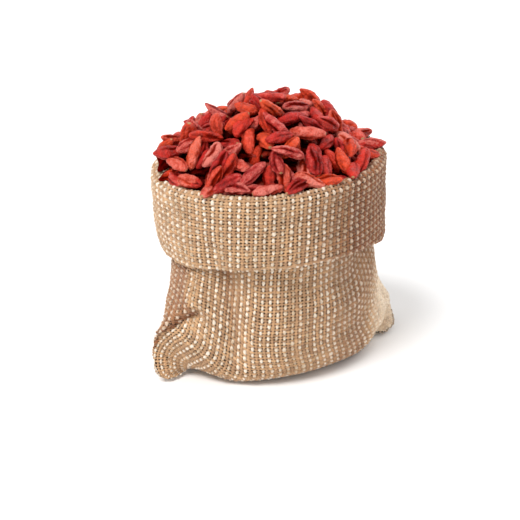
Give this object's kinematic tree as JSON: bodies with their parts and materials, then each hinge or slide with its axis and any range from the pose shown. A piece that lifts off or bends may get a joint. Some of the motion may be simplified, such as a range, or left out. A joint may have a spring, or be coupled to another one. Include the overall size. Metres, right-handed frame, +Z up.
{
  "type": "burlap sack of dried goji berries",
  "caption": "Small burlap sack standing upright with its mouth rolled down into a cuff, heaped with dried goji berries.",
  "frame": {"origin": "middle of the footprint's bounding box, on the surface that the sack stands on", "axes": "+Z up through the mouth, X from one sewn bottom corner to the other, -Y the front panel"},
  "size_m": [0.1588, 0.1196, 0.157],
  "materials": {
    "burlap": "coarse matt plain weave of tan and off-white jute yarn",
    "dried_berries": "wrinkled, softly shining dried fruit skin"
  },
  "bodies": {
    "root": {"sack": "burlap", "berries": "dried_berries"}
  },
  "joints": []
}
